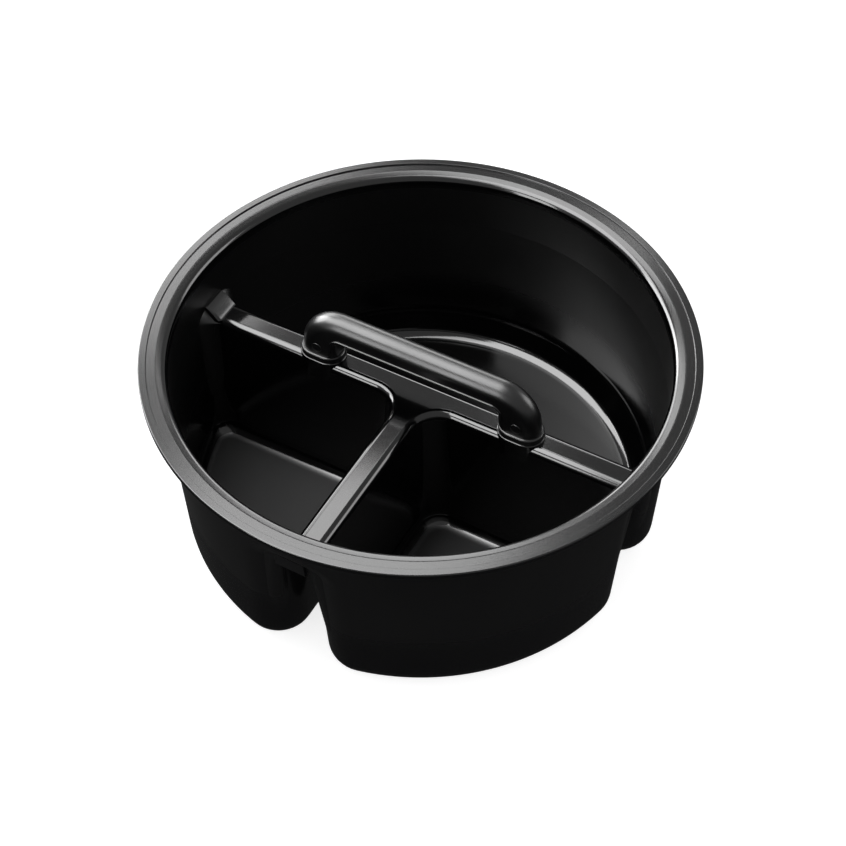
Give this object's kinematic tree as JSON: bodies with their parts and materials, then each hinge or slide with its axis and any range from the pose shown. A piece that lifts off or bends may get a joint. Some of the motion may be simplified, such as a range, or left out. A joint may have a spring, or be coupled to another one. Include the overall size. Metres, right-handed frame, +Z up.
{
  "type": "tool storage caddy",
  "caption": "Round black moulded caddy that drops into a bucket: a half-moon cup, quarter cups, straight dividers and a bow handle screwed over the middle.",
  "frame": {"origin": "centre of the base, on the surface that the caddy stands on", "axes": "+Z up, +X along the main divider and the handle, +Y towards the middle of the half-moon cup"},
  "size_m": [0.305, 0.305, 0.126],
  "materials": {
    "tray_plastic": "smooth injection-moulded black, glossy walls",
    "handle_plastic": "satin black, fine moulded texture",
    "brass": "turned brass",
    "zinc_steel": "zinc-plated steel"
  },
  "bodies": {
    "root": {"flange": "tray_plastic", "collar": "tray_plastic", "divider_deck": "tray_plastic", "half_moon_cup": "tray_plastic", "left_quarter_cup": "tray_plastic", "right_quarter_cup": "tray_plastic", "handle": "handle_plastic", "thread_insert_right": "brass", "washer_right": "zinc_steel", "handle_screw_right": "zinc_steel", "thread_insert_left": "brass", "washer_left": "zinc_steel", "handle_screw_left": "zinc_steel"}
  },
  "joints": []
}
